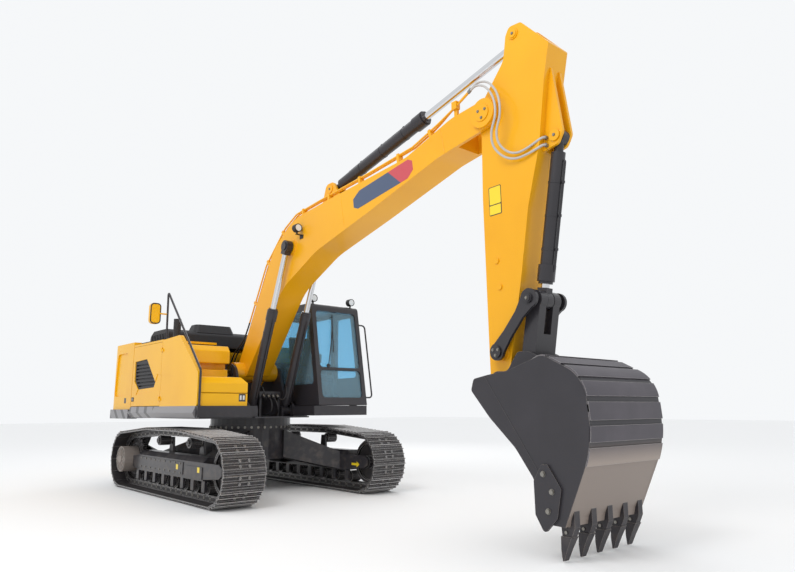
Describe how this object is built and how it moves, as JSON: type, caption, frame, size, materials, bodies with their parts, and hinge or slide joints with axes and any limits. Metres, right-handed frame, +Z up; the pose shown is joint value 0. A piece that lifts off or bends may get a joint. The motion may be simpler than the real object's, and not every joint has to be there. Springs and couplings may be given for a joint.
{
  "type": "crawler excavator",
  "caption": "Twenty-one tonne class crawler excavator: steel tracks, slewing upper with cab and counterweight, arched boom, stick and digging bucket with its linkage.",
  "frame": {"origin": "on the ground under the slewing axis", "axes": "+X forward along the tracks toward the idlers, +Y to the driver's left, +Z up"},
  "size_m": [9.7127, 3.2068, 5.311],
  "materials": {
    "amber_paint": "amber gloss enamel on steel plate",
    "charcoal_paint": "charcoal satin enamel",
    "black_steel_paint": "black chassis paint",
    "chromed_rod": "hard chrome plated rod",
    "cab_glass_pane": "tinted tempered glass",
    "black_plastic": "moulded black plastic",
    "light_grey_paint": "light grey enamel",
    "worn_steel": "charcoal paint worn to bare steel on its edges",
    "seat_fabric": "woven seat cover over foam"
  },
  "bodies": {
    "undercarriage": {"final_drives": "light_grey_paint", "car_body": "charcoal_paint", "track_frame_right": "charcoal_paint", "track_frame_left": "charcoal_paint", "track_right": "worn_steel", "track_left": "worn_steel", "idlers": "worn_steel", "sprockets": "worn_steel", "bottom_rollers": "worn_steel", "carrier_rollers": "worn_steel", "slewing_ring": "charcoal_paint"},
    "upper": {"revolving_frame": "charcoal_paint", "boom_cylinder_ears": "charcoal_paint", "counterweight": "amber_paint", "engine_block": "charcoal_paint", "right_housing": "amber_paint", "left_housing": "amber_paint", "fuel_tank": "amber_paint", "tool_box": "amber_paint", "cab_shell": "charcoal_paint", "cab_glass": "cab_glass_pane", "operator_station": "seat_fabric", "handrails": "black_steel_paint", "right_mirror": "amber_paint", "work_lamps": "black_steel_paint", "control_valve": "black_steel_paint", "valve_hoses": "charcoal_paint", "exhaust_pipe": "black_steel_paint", "deck_skirts": "light_grey_paint"},
    "engine_hood": {"hood": "black_plastic"},
    "right_side_door": {"right_door": "amber_paint", "right_grille": "black_plastic"},
    "left_side_door_front": {"left_door_front": "amber_paint"},
    "left_side_door_rear": {"left_door_rear": "amber_paint"},
    "box_lid": {"tool_box_lid": "amber_paint"},
    "driver_door": {"cab_door": "charcoal_paint", "cab_door_glass": "cab_glass_pane"},
    "boom_arm": {"boom": "amber_paint", "boom_pipes": "amber_paint", "boom_lamp": "charcoal_paint"},
    "boom_barrels": {"boom_cylinder_barrel": "charcoal_paint"},
    "boom_rods": {"boom_cylinder_rod": "chromed_rod", "boom_cylinder_eye": "charcoal_paint"},
    "stick_arm": {"stick": "amber_paint"},
    "stick_barrel": {"stick_cylinder_barrel": "charcoal_paint"},
    "stick_rod": {"stick_cylinder_rod": "chromed_rod", "stick_cylinder_eye": "charcoal_paint"},
    "bucket_body": {"bucket": "worn_steel", "wear_strips": "worn_steel", "bucket_teeth": "worn_steel"},
    "rocker": {"rocker_arms": "charcoal_paint"},
    "link": {"bucket_link": "charcoal_paint"},
    "bucket_barrel": {"bucket_cylinder_barrel": "charcoal_paint"},
    "bucket_rod": {"bucket_cylinder_rod": "chromed_rod", "bucket_cylinder_eye": "charcoal_paint"}
  },
  "joints": [
    {"name": "swing", "type": "hinge", "parent": "undercarriage", "child": "upper", "pos_m": [0, 0, 1.018], "axis": [0, 0, 1], "continuous": true},
    {"name": "boom", "type": "hinge", "parent": "upper", "child": "boom_arm", "pos_m": [0.02, 0, 1.85], "axis": [0, -1, 0], "range_deg": [-60, 36]},
    {"name": "boom_barrel_tilt", "type": "hinge", "parent": "upper", "child": "boom_barrels", "pos_m": [0.53, 0, 1.225], "axis": [0, -1, 0], "range_deg": [-53.88, 32.73]},
    {"name": "boom_rod_slide", "type": "slide", "parent": "boom_barrels", "child": "boom_rods", "axis": [0.3635, 0, 0.9316], "range_m": [-0.8, 0.484]},
    {"name": "stick", "type": "hinge", "parent": "boom_arm", "child": "stick_arm", "pos_m": [5.385, 0, 4.415], "axis": [0, -1, 0], "range_deg": [-28, 82]},
    {"name": "stick_barrel_tilt", "type": "hinge", "parent": "boom_arm", "child": "stick_barrel", "pos_m": [2.29, 0, 4.4], "axis": [0, -1, 0], "range_deg": [-3.12, 7.21]},
    {"name": "stick_rod_slide", "type": "slide", "parent": "stick_barrel", "child": "stick_rod", "axis": [0.9749, 0, 0.2228], "range_m": [-1.1341, 0.3939]},
    {"name": "bucket", "type": "hinge", "parent": "stick_arm", "child": "bucket_body", "pos_m": [5.45, 0, 1.49], "axis": [0, 1, 0], "range_deg": [0, 160]},
    {"name": "rocker", "type": "hinge", "parent": "stick_arm", "child": "rocker", "pos_m": [5.485, 0, 1.808], "axis": [0, 1, 0], "range_deg": [-1, 116.82]},
    {"name": "link", "type": "hinge", "parent": "bucket_body", "child": "link", "pos_m": [5.8, 0, 1.69], "axis": [0, -1, 0], "range_deg": [-1, 91.21]},
    {"name": "bucket_barrel_tilt", "type": "hinge", "parent": "stick_arm", "child": "bucket_barrel", "pos_m": [6.196, 0, 3.932], "axis": [0, -1, 0], "range_deg": [-1, 6.36]},
    {"name": "bucket_rod_slide", "type": "slide", "parent": "bucket_barrel", "child": "bucket_rod", "axis": [-0.1751, 0, -0.9846], "range_m": [-0.01, 1.1178]},
    {"name": "driver_door", "type": "hinge", "parent": "upper", "child": "driver_door", "pos_m": [0.346, 1.441, 2.02], "axis": [0, 0, 1], "range_deg": [0, 165]},
    {"name": "right_side_door", "type": "hinge", "parent": "upper", "child": "right_side_door", "pos_m": [-0.41, -1.383, 1.85], "axis": [0, 0, 1], "range_deg": [0, 100]},
    {"name": "left_side_door_front", "type": "hinge", "parent": "upper", "child": "left_side_door_front", "pos_m": [-1.07, 1.383, 1.85], "axis": [0, 0, 1], "range_deg": [0, 90]},
    {"name": "left_side_door_rear", "type": "hinge", "parent": "upper", "child": "left_side_door_rear", "pos_m": [-1.672, 1.383, 1.85], "axis": [0, 0, 1], "range_deg": [0, 90]},
    {"name": "engine_hood", "type": "hinge", "parent": "upper", "child": "engine_hood", "pos_m": [-1.26, 0, 2.353], "axis": [0, 1, 0], "range_deg": [0, 60]},
    {"name": "box_lid", "type": "hinge", "parent": "upper", "child": "box_lid", "pos_m": [0.211, 0, 1.728], "axis": [0, -1, 0], "range_deg": [0, 88]}
  ],
  "couplings": [
    {"joint": "boom_barrel_tilt", "follows": "boom", "ratio": 0.8813},
    {"joint": "boom_rod_slide", "follows": "boom", "m_per_rad": 0.7544},
    {"joint": "stick_barrel_tilt", "follows": "stick", "ratio": 0.0757},
    {"joint": "stick_rod_slide", "follows": "stick", "m_per_rad": -0.7855},
    {"joint": "rocker", "follows": "bucket", "ratio": 0.7239},
    {"joint": "link", "follows": "bucket", "ratio": 0.5638},
    {"joint": "bucket_barrel_tilt", "follows": "bucket", "ratio": 0.0335},
    {"joint": "bucket_rod_slide", "follows": "bucket", "m_per_rad": 0.3967}
  ]
}
